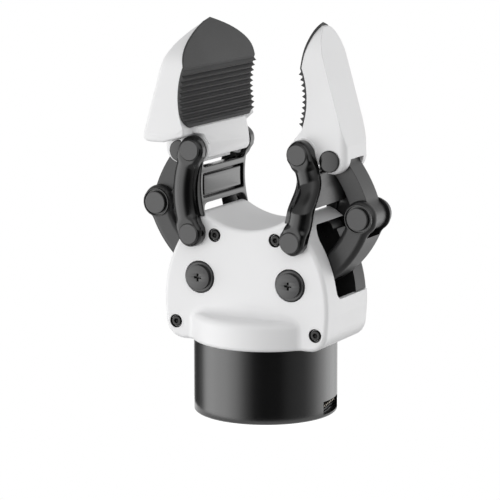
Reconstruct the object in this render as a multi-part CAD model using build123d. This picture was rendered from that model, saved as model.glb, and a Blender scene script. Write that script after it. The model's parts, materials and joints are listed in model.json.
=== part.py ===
"""Two-finger adaptive robot gripper.

Millimetres. The origin is the centre of the mounting face, +Z points at the fingertips,
the fingers open along X and the screwed cover faces -Y. Every part of a finger is drawn
on the +X side and mirrored for the other finger. The +X finger is narrow and closes
between the arms of the wide -X finger.
"""
import math
import os

from build123d import *

# Pivots of the +X finger, seen along Y as (x, z)
CRANK_PIVOT = (23.3, 64.0)
ARM_PIVOT = (26.0, 84.75)
FINGER_PIVOT = (25.3, 123.5)
KNEE_PIVOT = (52.2, 95.2)
COUPLER_PIVOT = (38.6, 120.7)

# General fits
RUN_FIT = 0.05
SEAT_FIT = 0.02
SIDE_GAP = 0.3
WALL = 2.2

# Base
BASE_R = 33.5
BASE_TOP = 44.0
BASE_WALL = 3.0
FLANGE_T = 8.0
FLANGE_PCD = 50.0
FLANGE_HOLE_R = 2.5
DOWEL_R = 3.0
FLANGE_SCREW_R = 1.25
FLANGE_SCREW_HEAD_R = 2.25
FLANGE_SCREW_LEN = 5.0
BASE_EDGE = 0.6
PORT_ANGLE = 9.5
PORT_W = 22.4
PORT_LOW = 1.5
PORT_HIGH = 7.6
PORT_DEPTH = 8.0
PIN_COUNT = 8
PIN_R = 0.5
BOARD_T = 1.6
BOARD_Z = 12.0

# Body
BODY_HALF = 21.2
BODY_LOW = 34.0
SKIRT_R = 34.9
SKIRT_TOP = 47.6
SKIRT_BLEND = 3.5
FACE_ROUND = 2.0
SADDLE_Z = 87.7
SADDLE_R = 38.5
CREST_X = 22.8
SHOULDER = (30.6, 89.6)
SIDE_POINTS = ((33.0, 83.6), (40.0, 68.2), (42.1, 50.0))
CREST_ROUND = 3.5
SHOULDER_ROUND = 6.0
CORNER_ROUND = 9.0
SLOT_HALF = 10.4
SLOT_LOW = 57.0
SLOT_HIGH = 90.4
SLOT_ROUND = 4.5
CAVITY_HALF = 10.7
FRAME_FLOOR = 48.4
BRIDGE_HALF = 8.0
BRIDGE_LOW = 80.6
BRIDGE_HIGH = 84.6

# Cover screws, as (x, z) on the +X side
COVER_SCREWS = ((15.6, 84.1), (36.0, 42.0))
SCREW_R = 1.5
SCREW_HEAD_R = 2.75
SCREW_HEAD_H = 2.6
SCREW_LEN = 9.0
SCREW_SINK = 0.5
SCREW_POCKET_R = 3.6
SCREW_POCKET_DEPTH = 1.2
SCREW_HEX = 2.5

# Crank and its axle
AXLE_R = 4.0
BUSH_R = 6.5
BUSH_FLANGE_R = 8.2
BUSH_FLANGE_T = 0.5
CAP_R = 7.3
CAP_PROUD = 0.8
CAP_RIM = 1.3
CAP_DISH = 1.0
CAP_STEM_R = 2.0
CAP_STEM_LEN = 6.0
CROSS_LEN = 3.6
CROSS_W = 0.9
CROSS_DEPTH = 0.8
CRANK_HALF = 9.9
CRANK_W = 11.2
CRANK_MID = (41.6, 76.1)
CRANK_HUB_R = 8.6
CRANK_ROUND = 2.6
NECK_ROUND = 6.0
KNEE_R = 7.9
FORK_HALF = 6.6
FORK_DEPTH = 9.6
KNEE_PIN_R = 3.0
KNEE_HEAD_R = 6.7
HEAD_PROUD = 1.5
HEAD_RIM = 0.7
HEAD_DISH = 0.7

# Coupler between the knee and the finger
COUPLER_HALF = 6.3
COUPLER_W = 8.6
COUPLER_MID = (47.1, 108.6)
COUPLER_HUB_R = 6.6
COUPLER_EYE_R = 5.9
OPEN_BORE = 0.82
OPEN_SHIFT = (0.155, -0.475)

# Arm frame that carries the finger
ARM_INNER = 21.7
ARM_T = 5.4
ARM_W = 9.4
ARM_MID = (30.1, 104.2)
ARM_END_R = 6.2
ARM_ROUND = 2.4
ARM_PIN_R = 3.0
ARM_HEAD_R = 5.0
ARM_HEAD_SINK = 0.6
ARM_HEAD_PROUD = 0.6
NARROW_INNER = 13.2
JOG_LOW = 100.5
JOG_HIGH = 108.5
JOG_ROUND = 6.0
WEB_LOW = 98.2
WEB_HIGH = 116.4
NOTCH_LOW = 115.1
NOTCH_HALF = (9.5, 12.3)
WEB_X = (26.6, 30.4)
PANEL_LOW = 98.2
PANEL_HIGH = 113.3
PANEL_X = 21.9
PANEL_RIM = 2.0
PANEL_SINK = 1.1

# Fingers
WIDE_HALF = 34.6
WIDE_TONGUE = 20.6
WIDE_LOBE = 12.4
NARROW_HALF = 12.2
BOSS_R = 6.9
LOBE_C = (39.2, 121.9)
LOBE_R = 7.4
PAD_LOW = (24.5, 134.0)
PAD_MID = (27.0, 148.1)
PAD_KINK = (24.4, 162.2)
PAD_BEND = (26.1, 170.0)
PAD_TOP = (29.6, 180.6)
BACK_TOP = (31.2, 180.2)
BACK_LOW = (46.4, 127.6)
HEEL_Z = 128.0
HEEL_ROUND = 4.0
CHEEK_LOW = (31.5, 128.0)
SPINE_LOW = 121.6
TIP_Z = 182.2
TIP_SLOPE = 0.28
WIDE_ARCH = ((0.62, 0.95, 1.0), (7.2, 15.2, 24.0))
NARROW_ARCH = ((0.55, 0.9, 1.0), (3.4, 9.5, 17.5))
TONGUE_LOW = 119.6
BOSS_T = 1.6
SIDE_STEP = 0.8
LOBE_ROUND = 3.0
BACK_EDGE = 1.8
CAVITY_CLEAR = 0.45
FINGER_PIN_R = 2.2
FINGER_HEAD_R = 5.0
FINGER_HEAD_T = 1.6
PAD_T = 0.8
PAD_PROUD = 0.9
PAD_CORNER = 8.0
RIDGES = 10
RIDGE_PITCH = 2.6
RIDGE_H = 1.5
RIDGE_W = 2.3
PIN_GRIP = 8.0

# Drive
MODULE = 1.2
GEAR_TEETH = 24
SECTOR_TEETH = 9
GEAR_HALF = 4.5
PRESSURE = math.radians(20)
BACKLASH = 0.25
NUT_HALF_Y = 9.4
NUT_HALF_Z = 11.0
SCREW_SHAFT_R = 4.0
SCREW_TOP = 83.0
COLLAR_R = 5.0
COLLAR_T = 2.5
ROD_R = 1.2
ROD_Y = 7.2
MOTOR_R = 13.0
MOTOR_LOW = 14.5
MOTOR_TOP = 40.0
MOTOR_SHAFT_R = 2.5
MOUNT_T = 3.0

# Worked out from the sizes above
GEAR_R = MODULE * GEAR_TEETH / 2
RACK_X = CRANK_PIVOT[0] - GEAR_R
ARM_OUTER = ARM_INNER + ARM_T
FRAME_HALF = BODY_HALF - WALL - SEAT_FIT
COVER_IN = FRAME_HALF + SEAT_FIT
AXLE_HALF = FRAME_HALF + SIDE_GAP


def facing(y):
    """Plane at depth y whose sketches are drawn as (x, z) and grow towards -Y."""
    return Plane((0, y, 0), x_dir=(1, 0, 0), z_dir=(0, -1, 0))


def slab(sketch, y0, y1):
    """Extrudes a sketch drawn as (x, z) between two depths."""
    return extrude(facing(y1) * sketch, y1 - y0)


def across(sketch, x0, x1):
    """Extrudes a sketch drawn as (y, z) between two values of x."""
    plane = Plane((x0, 0, 0), x_dir=(0, 1, 0), z_dir=(1, 0, 0))
    return extrude(plane * sketch, x1 - x0)


def disc(centre, radius):
    return Pos(centre[0], centre[1]) * Circle(radius)


def pin(centre, radius, y0, y1):
    """Round bar along Y."""
    return slab(disc(centre, radius), y0, y1)


def block(x0, x1, y0, y1, z0, z1):
    size = Box(x1 - x0, y1 - y0, z1 - z0)
    return Pos((x0 + x1) / 2, (y0 + y1) / 2, (z0 + z1) / 2) * size


def tube(radius, z0, z1, x=0, y=0):
    """Round bar along Z."""
    return Pos(x, y, (z0 + z1) / 2) * Cylinder(radius, z1 - z0)


def circle_through(a, b, c):
    """Centre and radius of the circle through three points."""
    d = 2 * (a[0] * (b[1] - c[1]) + b[0] * (c[1] - a[1]) + c[0] * (a[1] - b[1]))
    sa, sb, sc = (p[0] ** 2 + p[1] ** 2 for p in (a, b, c))
    x = (sa * (b[1] - c[1]) + sb * (c[1] - a[1]) + sc * (a[1] - b[1])) / d
    y = (sa * (c[0] - b[0]) + sb * (a[0] - c[0]) + sc * (b[0] - a[0])) / d
    return (x, y), math.dist((x, y), a)


def bowed(a, mid, b, width):
    """Band of a given width whose centre line is the arc through three points."""
    centre, radius = circle_through(a, mid, b)

    def shifted(point, step):
        k = (radius + step) / radius
        return (centre[0] + (point[0] - centre[0]) * k, centre[1] + (point[1] - centre[1]) * k)

    half = width / 2
    outer = [shifted(p, half) for p in (a, mid, b)]
    inner = [shifted(p, -half) for p in (a, mid, b)]
    outline = [
        ThreePointArc(*outer),
        Line(outer[2], inner[2]),
        ThreePointArc(inner[2], inner[1], inner[0]),
        Line(inner[0], outer[0]),
    ]
    return make_face(outline)


def mirrored(shape):
    return mirror(shape, about=Plane.YZ)


def both_sides(shape):
    """The shape and its mirror image behind the XZ plane, as one list."""
    return [shape, mirror(shape, about=Plane.XZ)]


def save(name, shape):
    if isinstance(shape, (list, tuple)):
        shape = Compound(children=[s for s in shape])
    shape.label = name
    export_step(shape, "parts/" + name + ".step")


def body_outline(inset=0.0):
    """Front view of the body: saddle on top, bowed sides, round lower corners."""
    crest = (CREST_X, SADDLE_Z + SADDLE_R - math.sqrt(SADDLE_R ** 2 - CREST_X ** 2))
    high, middle, low = SIDE_POINTS
    foot = (low[0] - 1.2, BODY_LOW)

    def flip(point):
        return (-point[0], point[1])

    face = make_face([
        ThreePointArc(flip(crest), (0, SADDLE_Z), crest),
        Line(crest, SHOULDER),
        Line(SHOULDER, high),
        ThreePointArc(high, middle, low),
        Line(low, foot),
        Line(foot, flip(foot)),
        Line(flip(foot), flip(low)),
        ThreePointArc(flip(low), flip(middle), flip(high)),
        Line(flip(high), flip(SHOULDER)),
        Line(flip(SHOULDER), flip(crest)),
    ])
    for point, radius in ((foot, CORNER_ROUND), (SHOULDER, SHOULDER_ROUND), (crest, CREST_ROUND)):
        corners = [v for v in face.vertices() if math.dist((abs(v.X), v.Y), point) < 0.01]
        face = fillet(corners, radius)
    if inset:
        face = offset(face, -inset, kind=Kind.INTERSECTION)
    return face


def screw_points():
    return [(side * x, z) for x, z in COVER_SCREWS for side in (-1, 1)]


def pivot_points():
    return [(side * CRANK_PIVOT[0], CRANK_PIVOT[1]) for side in (-1, 1)]


def arm_points():
    return [(side * ARM_PIVOT[0], ARM_PIVOT[1]) for side in (-1, 1)]


def side_window(x0, x1, y0, y1, gap=0.0):
    """The opening in the side of the body, grown by a gap, open to the rear."""
    low = SLOT_LOW - gap
    high = SLOT_HIGH + gap
    shape = Rectangle(y1 - y0, high - low)
    shape = Pos((y0 + y1) / 2, (low + high) / 2) * shape
    shape = fillet(shape.vertices().group_by(Axis.X)[0], SLOT_ROUND)
    return across(shape, x0, x1)


def body_shell():
    """White moulded shell: front face, sides, saddle and the skirt round the base."""
    shell = slab(body_outline(), -BODY_HALF, BODY_HALF) + tube(SKIRT_R, BODY_LOW, SKIRT_TOP)
    crown = [
        e for e in shell.edges().filter_by(GeomType.CIRCLE)
        if abs(e.radius - SKIRT_R) < 0.01 and abs(e.center().Z - SKIRT_TOP) < 0.01
    ]
    meets = [
        e for e in shell.edges().filter_by(GeomType.LINE)
        if abs(abs(e.center().Y) - BODY_HALF) < 0.05 and BODY_LOW < e.center().Z < SKIRT_TOP + 0.01
        and abs(e.center().X) < SKIRT_R - 4
    ]
    shell = fillet(crown + meets, SKIRT_BLEND)
    front = [
        e for e in shell.edges()
        if abs(e.center().Y + BODY_HALF) < 0.02 and e.bounding_box().size.Y < 0.02
        and (abs(e.center().X) > SKIRT_R - 1 or e.center().Z > SLOT_LOW)
    ]
    shell = fillet(front, FACE_ROUND)
    shell -= slab(body_outline(WALL), WALL - BODY_HALF, BODY_HALF + 1)
    shell -= tube(BASE_R + SEAT_FIT, BODY_LOW - 1, BASE_TOP + SEAT_FIT)
    for side in (-1, 1):
        near, far = sorted((side * ARM_PIVOT[0], side * (BASE_R + 20)))
        shell -= side_window(near, far, -SLOT_HALF, BODY_HALF + 1)
    for point in screw_points():
        shell -= pin(point, SCREW_R + SIDE_GAP, -BODY_HALF - 1, -BODY_HALF + WALL + 1)
        shell -= pin(point, SCREW_POCKET_R, -BODY_HALF - 1, SCREW_POCKET_DEPTH - BODY_HALF)
    for point in pivot_points():
        shell -= pin(point, CAP_R + SIDE_GAP, -BODY_HALF - 1, -BODY_HALF + WALL + 1)
    for point in arm_points():
        shell -= pin(point, ARM_PIN_R + SIDE_GAP, -BODY_HALF - 1, -BODY_HALF + WALL + 1)
    return shell


def ear_zone(y0, y1):
    """Part of the rear that shows through the side windows, just under the shell's surface."""
    inner = slab(body_outline(0.6), y0, y1)
    zone = block(30, 60, y0, y1, SLOT_LOW + SIDE_GAP, SLOT_HIGH - SLOT_ROUND)
    return inner & (zone + mirrored(zone))


def frame():
    """Inner frame: two plates joined by a floor and a bridge. It carries every pivot."""
    y1 = FRAME_HALF
    solid = slab(body_outline(WALL + SIDE_GAP), -y1, y1)
    solid += ear_zone(CAVITY_HALF, y1)
    solid -= tube(BASE_R + SIDE_GAP, BODY_LOW - 1, BASE_TOP)
    solid -= block(-60, 60, -CAVITY_HALF, CAVITY_HALF, FRAME_FLOOR, 110)
    bridge = block(-BRIDGE_HALF, BRIDGE_HALF, -CAVITY_HALF, CAVITY_HALF, BRIDGE_LOW, BRIDGE_HIGH)
    solid += bridge
    solid -= tube(COLLAR_R + SIDE_GAP, BASE_TOP, FRAME_FLOOR + 1)
    solid -= tube(SCREW_SHAFT_R + RUN_FIT, BRIDGE_LOW - 1, BRIDGE_HIGH + 1)
    for y in (-ROD_Y, ROD_Y):
        solid -= tube(ROD_R + SEAT_FIT, FRAME_FLOOR - 2, BRIDGE_HIGH + 1, y=y)
    for point in pivot_points():
        solid -= pin(point, BUSH_R + SEAT_FIT, -30, 30)
    for point in arm_points():
        solid -= pin(point, ARM_PIN_R + RUN_FIT, -30, 30)
    for point in screw_points():
        solid -= pin(point, SCREW_R + SEAT_FIT, -30, -CAVITY_HALF + 1)
        solid -= pin(point, SCREW_R + SEAT_FIT, CAVITY_HALF - 1, 30)
    return solid


def rear_cover():
    """Flat dark cover that closes the open rear of the shell."""
    y1 = BODY_HALF - SEAT_FIT
    plate = slab(body_outline(WALL + SIDE_GAP), COVER_IN, y1)
    plate += ear_zone(COVER_IN, y1)
    plate -= tube(SKIRT_R + SIDE_GAP, BODY_LOW - 1, SKIRT_TOP + SIDE_GAP)
    for point in screw_points():
        plate -= pin(point, SCREW_R + SIDE_GAP, COVER_IN - 1, y1 + 1)
        plate -= pin(point, SCREW_POCKET_R, BODY_HALF - SCREW_POCKET_DEPTH, y1 + 1)
    for point in pivot_points():
        plate -= pin(point, CAP_R + SIDE_GAP, COVER_IN - 1, y1 + 1)
    for point in arm_points():
        plate -= pin(point, ARM_PIN_R + SIDE_GAP, COVER_IN - 1, y1 + 1)
    return plate


def cover_screw(point):
    """Socket-head screw in the front cover, its head sunk in the pocket."""
    face = -BODY_HALF + SCREW_SINK
    seat = -BODY_HALF + SCREW_POCKET_DEPTH
    head = pin(point, SCREW_HEAD_R, face, seat)
    shank = pin(point, SCREW_R, seat, seat + SCREW_LEN)
    hexagon = Pos(*point) * RegularPolygon(SCREW_HEX / 2, 6, major_radius=False)
    socket = slab(hexagon, face - 1, face + 0.5)
    return head + shank - socket


def base_housing():
    """Black cylindrical base with the port window near its foot."""
    solid = tube(BASE_R, 0, BASE_TOP)
    solid = chamfer(solid.edges().group_by(Axis.Z)[0], BASE_EDGE)
    solid -= tube(BASE_R - BASE_WALL, -1, BASE_TOP - MOUNT_T)
    solid -= tube(MOTOR_SHAFT_R + 4, BASE_TOP - MOUNT_T - 1, BASE_TOP + 1)
    solid -= port_space(BASE_R - PORT_DEPTH - 1, BASE_R + 2, 0.0)
    for angle in (0, 90, 180, 270):
        x, y = polar(FLANGE_PCD / 2 + 4, angle)
        solid -= tube(FLANGE_SCREW_R, BASE_TOP - MOUNT_T - 1, BASE_TOP + 1, x, y)
    return solid


def polar(radius, degrees):
    a = math.radians(degrees)
    return radius * math.cos(a), radius * math.sin(a)


def port_space(r0, r1, gap):
    """Box cut into the side of the base for the connector."""
    depth = r1 - r0
    high = PORT_HIGH - PORT_LOW - 2 * gap
    box = Box(depth, PORT_W - 2 * gap, high)
    box = Pos((r0 + r1) / 2, 0, (PORT_LOW + PORT_HIGH) / 2) * box
    return Rot(0, 0, PORT_ANGLE) * box


def mounting_flange():
    """Round plate with four threaded holes and a dowel hole."""
    outer = BASE_R - BASE_WALL - SEAT_FIT
    plate = tube(outer, 0, FLANGE_T)
    for angle in (45, 135, 225, 315):
        x, y = polar(FLANGE_PCD / 2, angle)
        plate -= tube(FLANGE_HOLE_R, -1, FLANGE_T + 1, x, y)
    x, y = polar(FLANGE_PCD / 2, 180)
    plate -= tube(DOWEL_R, -1, FLANGE_T + 1, x, y)
    plate -= port_space(BASE_R - PORT_DEPTH, BASE_R + 2, 0.0)
    return plate


def connector_block():
    """Moulded socket strip at the back of the port."""
    gap = 0.35
    r0 = BASE_R - PORT_DEPTH
    body = port_space(r0, r0 + 4.2, gap)
    body -= port_space(r0 + 2.6, r0 + 6, 1.2)
    return body


def connector_pins():
    r0 = BASE_R - PORT_DEPTH + 2.6
    step = (PORT_W - 5.2) / (PIN_COUNT - 1)
    z = (PORT_LOW + PORT_HIGH) / 2
    pins = []
    for i in range(PIN_COUNT):
        y = (i - (PIN_COUNT - 1) / 2) * step
        bar = Pos(r0 + 1.3, y, z) * Rot(0, 90, 0) * Cylinder(PIN_R, 2.6)
        pins.append(Rot(0, 0, PORT_ANGLE) * bar)
    return pins


def motor():
    """Motor can with a narrower gearhead that passes the top of the base."""
    can = tube(MOTOR_R, MOTOR_LOW, MOTOR_TOP - 8)
    head = tube(MOTOR_R - 1.0, MOTOR_TOP - 8, BASE_TOP - MOUNT_T - SEAT_FIT)
    bore = tube(MOTOR_SHAFT_R + RUN_FIT, MOTOR_TOP - 4, BASE_TOP)
    return can + head - bore


def lead_screw():
    """Screw turned by the motor. Its collar runs in the floor of the frame."""
    shaft = tube(SCREW_SHAFT_R, BASE_TOP + 1, SCREW_TOP)
    collar = tube(COLLAR_R, BASE_TOP + 1, BASE_TOP + 1 + COLLAR_T)
    tail = tube(MOTOR_SHAFT_R, MOTOR_TOP - 3, BASE_TOP + 1)
    return shaft + collar + tail


def rack_profile():
    """Straight-flanked teeth on both sides of the nut, drawn as (x, z)."""
    pitch = math.pi * MODULE
    z0 = CRANK_PIVOT[1]
    root = RACK_X - 1.25 * MODULE
    tip = RACK_X + MODULE * 0.95
    half = pitch / 4 - BACKLASH / 2
    lean = math.tan(PRESSURE)
    shape = Pos(0, z0) * Rectangle(2 * root, 2 * NUT_HALF_Z)
    count = int((NUT_HALF_Z - pitch / 2) / pitch)
    for i in range(-count - 1, count + 1):
        z = z0 + (i + 0.5) * pitch
        low = half + (RACK_X - root) * lean
        high = half - (tip - RACK_X) * lean
        tooth = Polyline(
            (root - 0.1, z - low), (root, z - low), (tip, z - high),
            (tip, z + high), (root, z + low), (root - 0.1, z + low), close=True,
        )
        face = make_face(tooth)
        shape += face
        shape += mirror(face, about=Plane.YZ)
    return shape


def drive_nut():
    """Nut with a rack on each side, guided by two rods."""
    nut = slab(rack_profile(), -NUT_HALF_Y, NUT_HALF_Y)
    nut -= tube(SCREW_SHAFT_R + RUN_FIT, 0, 120)
    for y in (-ROD_Y, ROD_Y):
        nut -= tube(ROD_R + RUN_FIT, 0, 120, y=y)
    return nut


def involute(angle):
    return math.tan(angle) - angle


def sector_gear():
    """Toothed sector on the crank, with a tooth that points at the rack."""
    base = GEAR_R * math.cos(PRESSURE)
    root = GEAR_R - 1.25 * MODULE
    tip = GEAR_R + MODULE * 0.95
    spread = 360 / GEAR_TEETH
    half = math.pi / (2 * GEAR_TEETH) - BACKLASH / (2 * GEAR_R)
    shape = Circle(AXLE_R + 4)
    wedge = Circle(root)
    reach = spread * SECTOR_TEETH / 2
    ends = [polar(2 * root, 180 - reach), polar(2 * root, 180 + reach)]
    wedge &= make_face(Polyline((0, 0), ends[0], (-3 * root, 0), ends[1], close=True))
    shape += wedge
    for i in range(SECTOR_TEETH):
        turn = math.pi + math.radians((i - (SECTOR_TEETH - 1) / 2) * spread)
        flank = []
        for step in range(5):
            r = base + (tip - base) * step / 4
            a = half + involute(PRESSURE) - involute(math.acos(base / r))
            flank.append((r, a))
        flank.insert(0, (root - 0.3, flank[0][1]))
        left = [(r * math.cos(turn + a), r * math.sin(turn + a)) for r, a in flank]
        right = [(r * math.cos(turn - a), r * math.sin(turn - a)) for r, a in flank]
        shape += make_face(Polyline(*left, *reversed(right), close=True))
    gear = slab(Pos(*CRANK_PIVOT) * shape, -GEAR_HALF, GEAR_HALF)
    return gear - pin(CRANK_PIVOT, AXLE_R + SEAT_FIT, -30, 30)


def crank():
    """Driven crank: banana-shaped, forked at the knee, with a gap for the sector gear."""
    shape = bowed(CRANK_PIVOT, CRANK_MID, KNEE_PIVOT, CRANK_W)
    shape += disc(CRANK_PIVOT, CRANK_HUB_R)
    shape += disc(KNEE_PIVOT, KNEE_R)
    shape = fillet(shape.vertices(), NECK_ROUND)
    solid = slab(shape, -CRANK_HALF, CRANK_HALF)
    faces = solid.edges().group_by(Axis.Y)
    solid = fillet(faces[0] + faces[-1], CRANK_ROUND)
    gear_reach = GEAR_R + MODULE + SIDE_GAP
    solid -= pin(CRANK_PIVOT, gear_reach, -GEAR_HALF - SEAT_FIT, GEAR_HALF + SEAT_FIT)
    fork = disc(KNEE_PIVOT, FORK_DEPTH)
    fork += Pos(KNEE_PIVOT[0], KNEE_PIVOT[1] + FORK_DEPTH) * Rectangle(4 * FORK_DEPTH, 2 * FORK_DEPTH)
    solid -= slab(fork, -FORK_HALF, FORK_HALF)
    solid -= pin(CRANK_PIVOT, AXLE_R + SEAT_FIT, -30, 30)
    solid -= pin(KNEE_PIVOT, KNEE_PIN_R + SEAT_FIT, -30, 30)
    return solid


def crank_axle():
    axle = pin(CRANK_PIVOT, AXLE_R, -AXLE_HALF, AXLE_HALF)
    return axle - pin(CRANK_PIVOT, CAP_STEM_R + SEAT_FIT, -30, -AXLE_HALF + CAP_STEM_LEN + 1) \
        - pin(CRANK_PIVOT, CAP_STEM_R + SEAT_FIT, AXLE_HALF - CAP_STEM_LEN - 1, 30)


def axle_cap():
    """Dished screw cap on the front end of an axle, with a cross recess."""
    face = -BODY_HALF - CAP_PROUD
    inner = -AXLE_HALF
    cap = pin(CRANK_PIVOT, CAP_R, face, inner)
    cap = chamfer(cap.edges().group_by(Axis.Y)[0], 0.4)
    cap -= pin(CRANK_PIVOT, CAP_R - CAP_RIM, face - 1, face + CAP_DISH)
    cap += pin(CRANK_PIVOT, CAP_STEM_R, inner, inner + CAP_STEM_LEN)
    cross = Rectangle(CROSS_LEN, CROSS_W) + Rectangle(CROSS_W, CROSS_LEN)
    floor = face + CAP_DISH
    return cap - slab(Pos(*CRANK_PIVOT) * cross, floor - 1, floor + CROSS_DEPTH)


def bushing():
    """Flanged bush for the axle in the front plate of the frame."""
    tube_part = pin(CRANK_PIVOT, BUSH_R, -FRAME_HALF, -CAVITY_HALF)
    flange = pin(CRANK_PIVOT, BUSH_FLANGE_R, -CAVITY_HALF, -CAVITY_HALF + BUSH_FLANGE_T)
    bore = pin(CRANK_PIVOT, AXLE_R + RUN_FIT, -30, 0)
    return tube_part + flange - bore


def dished_head(centre, radius, y_face, y_seat, rim, dish):
    """Pin head whose outer face is dished inside a narrow rim."""
    head = pin(centre, radius, y_face, y_seat)
    head = chamfer(head.edges().group_by(Axis.Y)[0], 0.3)
    return head - pin(centre, radius - rim, y_face - 1, y_face + dish)


def knee_pin():
    """Pin through the fork. Both ends have the dished head."""
    face = -CRANK_HALF - HEAD_PROUD
    shaft = pin(KNEE_PIVOT, KNEE_PIN_R, -CRANK_HALF - 0.1, CRANK_HALF + 0.1)
    head = dished_head(KNEE_PIVOT, KNEE_HEAD_R, face, -CRANK_HALF, HEAD_RIM, HEAD_DISH)
    return shaft + head + mirror(head, about=Plane.XZ)


def coupler():
    """Bowed bar from the knee to the finger. Its eye has the larger bore of the open pivot."""
    eye = (COUPLER_PIVOT[0] + OPEN_SHIFT[0], COUPLER_PIVOT[1] + OPEN_SHIFT[1])
    shape = bowed(KNEE_PIVOT, COUPLER_MID, eye, COUPLER_W)
    shape += disc(KNEE_PIVOT, COUPLER_HUB_R)
    shape += disc(eye, COUPLER_EYE_R)
    shape = fillet(shape.vertices(), NECK_ROUND)
    solid = slab(shape, -COUPLER_HALF, COUPLER_HALF)
    solid -= pin(KNEE_PIVOT, KNEE_PIN_R + RUN_FIT, -30, 30)
    return solid - pin(eye, FINGER_PIN_R + OPEN_BORE, -30, 30)


def arm_path(upper_inner, step):
    """The front bar's outer or inner line seen along X: straight, or with the jog inwards."""
    low = -ARM_INNER - step
    high = -upper_inner - step
    return [(low, 0), (low, JOG_LOW), (high, JOG_HIGH), (high, 3 * TIP_Z)]


def arm_bar(upper_inner):
    """Front bar of the arm frame. It jogs inwards where the finger is narrow."""
    shape = bowed(ARM_PIVOT, ARM_MID, FINGER_PIVOT, ARM_W)
    shape += disc(ARM_PIVOT, ARM_END_R)
    shape += disc(FINGER_PIVOT, ARM_END_R)
    shape = fillet(shape.vertices(), NECK_ROUND)
    if upper_inner == ARM_INNER:
        bar = slab(shape, -ARM_OUTER, -ARM_INNER)
        return fillet(bar.edges().group_by(Axis.Y)[0], ARM_ROUND)
    outer = arm_path(upper_inner, ARM_T)
    inner = arm_path(upper_inner, 0)
    profile = make_face(Polyline(*outer, *reversed(inner), close=True))
    bends = [v for v in profile.vertices() if JOG_LOW - 1 < v.Y < JOG_HIGH + 1]
    profile = fillet(bends, JOG_ROUND)
    reach = KNEE_PIVOT[0]
    bar = slab(shape, -ARM_OUTER, -upper_inner) & across(profile, 0, reach)
    front = [f for f in bar.faces() if f.normal_at().Y < -0.5]
    return fillet(ShapeList(e for f in front for e in f.edges() if on_rim(e, front)), ARM_ROUND)


def on_rim(edge, faces):
    """True for an edge that only one of the faces has."""
    middle = edge.position_at(0.5)
    touching = [f for f in faces if f.distance_to(middle) < 0.001]
    return len(touching) == 1


def web(upper_inner):
    """Cross-piece between the bars, notched for the finger, with the sunk panel on its inner side."""
    low_half = ARM_INNER + ARM_T / 2
    high_half = upper_inner + ARM_T / 2
    notch, brow = NOTCH_HALF
    panel_half = upper_inner + 0.9
    half = [(0, WEB_LOW), (low_half, WEB_LOW)]
    if high_half < low_half:
        half += [(low_half, JOG_LOW), (high_half, JOG_HIGH)]
    if brow < upper_inner:
        half += [(high_half, WEB_HIGH), (brow, WEB_HIGH), (notch, NOTCH_LOW)]
    else:
        half += [(high_half, NOTCH_LOW)]
    half += [(0, NOTCH_LOW)]
    wall = make_face(Polyline(*half, close=True))
    wall += mirror(wall, about=Plane.YZ)
    solid = across(wall, WEB_X[0], WEB_X[1])
    solid += block(PANEL_X, WEB_X[0] + 1, -panel_half, panel_half, PANEL_LOW, PANEL_HIGH)
    sunk = panel_half - PANEL_RIM / 2
    solid -= block(
        PANEL_X - 1, PANEL_X + PANEL_SINK, -sunk, sunk,
        PANEL_LOW + 1.4 * PANEL_RIM, PANEL_HIGH - PANEL_RIM,
    )
    return solid


def arm_frame(upper_inner):
    """H-shaped frame: two bars and a cross-piece."""
    bar = arm_bar(upper_inner)
    solid = bar + mirror(bar, about=Plane.XZ) + web(upper_inner)
    ends = ((ARM_PIVOT, ARM_OUTER), (FINGER_PIVOT, upper_inner + ARM_T))
    for centre, outer in ends:
        solid -= pin(centre, ARM_PIN_R + SEAT_FIT, -40, 40)
        solid -= pin(centre, ARM_HEAD_R + SEAT_FIT, -40, -outer + ARM_HEAD_SINK)
        solid -= pin(centre, ARM_HEAD_R + SEAT_FIT, outer - ARM_HEAD_SINK, 40)
    return solid


def arm_pin(centre, outer, reach):
    """Headed pin at the front end of a bar, reaching inwards to a depth."""
    face = -outer - ARM_HEAD_PROUD
    seat = -outer + ARM_HEAD_SINK
    head = pin(centre, ARM_HEAD_R, face, seat)
    head = chamfer(head.edges().group_by(Axis.Y)[0], 0.5)
    return head + pin(centre, ARM_PIN_R, seat - 0.1, -reach)


def finger_side():
    """Side view of a finger from its pivot to its tip, drawn as (x, z)."""
    px, pz = FINGER_PIVOT
    lx, lz = LOBE_C
    throat = (px - BOSS_R, pz + 3.0)
    outline = [
        Line(throat, PAD_LOW),
        ThreePointArc(PAD_LOW, PAD_MID, PAD_KINK),
        ThreePointArc(PAD_KINK, PAD_BEND, PAD_TOP),
        Line(PAD_TOP, BACK_TOP),
        Line(BACK_TOP, BACK_LOW),
        Line(BACK_LOW, (lx + LOBE_R, lz)),
        Line((lx + LOBE_R, lz), (px, pz - BOSS_R + 1.0)),
        Line((px, pz - BOSS_R + 1.0), throat),
    ]
    shape = make_face(outline)
    shape += disc(FINGER_PIVOT, BOSS_R)
    shape += disc(LOBE_C, LOBE_R)
    return shape


def arch(half, tip_z, low, corner):
    """Outline of the fingertip seen along X, drawn as (y, z): a blunt pointed arch."""
    tip = (0, tip_z)
    shares, drops = (WIDE_ARCH if half > NARROW_HALF else NARROW_ARCH)
    knots = [(share * half, tip_z - drop) for share, drop in zip(shares, drops)]
    left = [(-y, z) for y, z in knots]
    base = (half, low)
    face = make_face([
        Spline(tip, *knots, tangents=[(1, -TIP_SLOPE), (0, -1)]),
        Line(knots[-1], base),
        Line(base, (-half, low)),
        Line((-half, low), left[-1]),
        Spline(tip, *left, tangents=[(-1, -TIP_SLOPE), (0, -1)]),
    ])
    return fillet(face.vertices().group_by(Axis.Y)[0], corner)


def pad_outline(half, tip_z):
    """The pad's outline seen along X: the arch with its lower corners cut."""
    return arch(half, tip_z, PAD_LOW[1], PAD_CORNER if half > NARROW_HALF else HEEL_ROUND)


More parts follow.
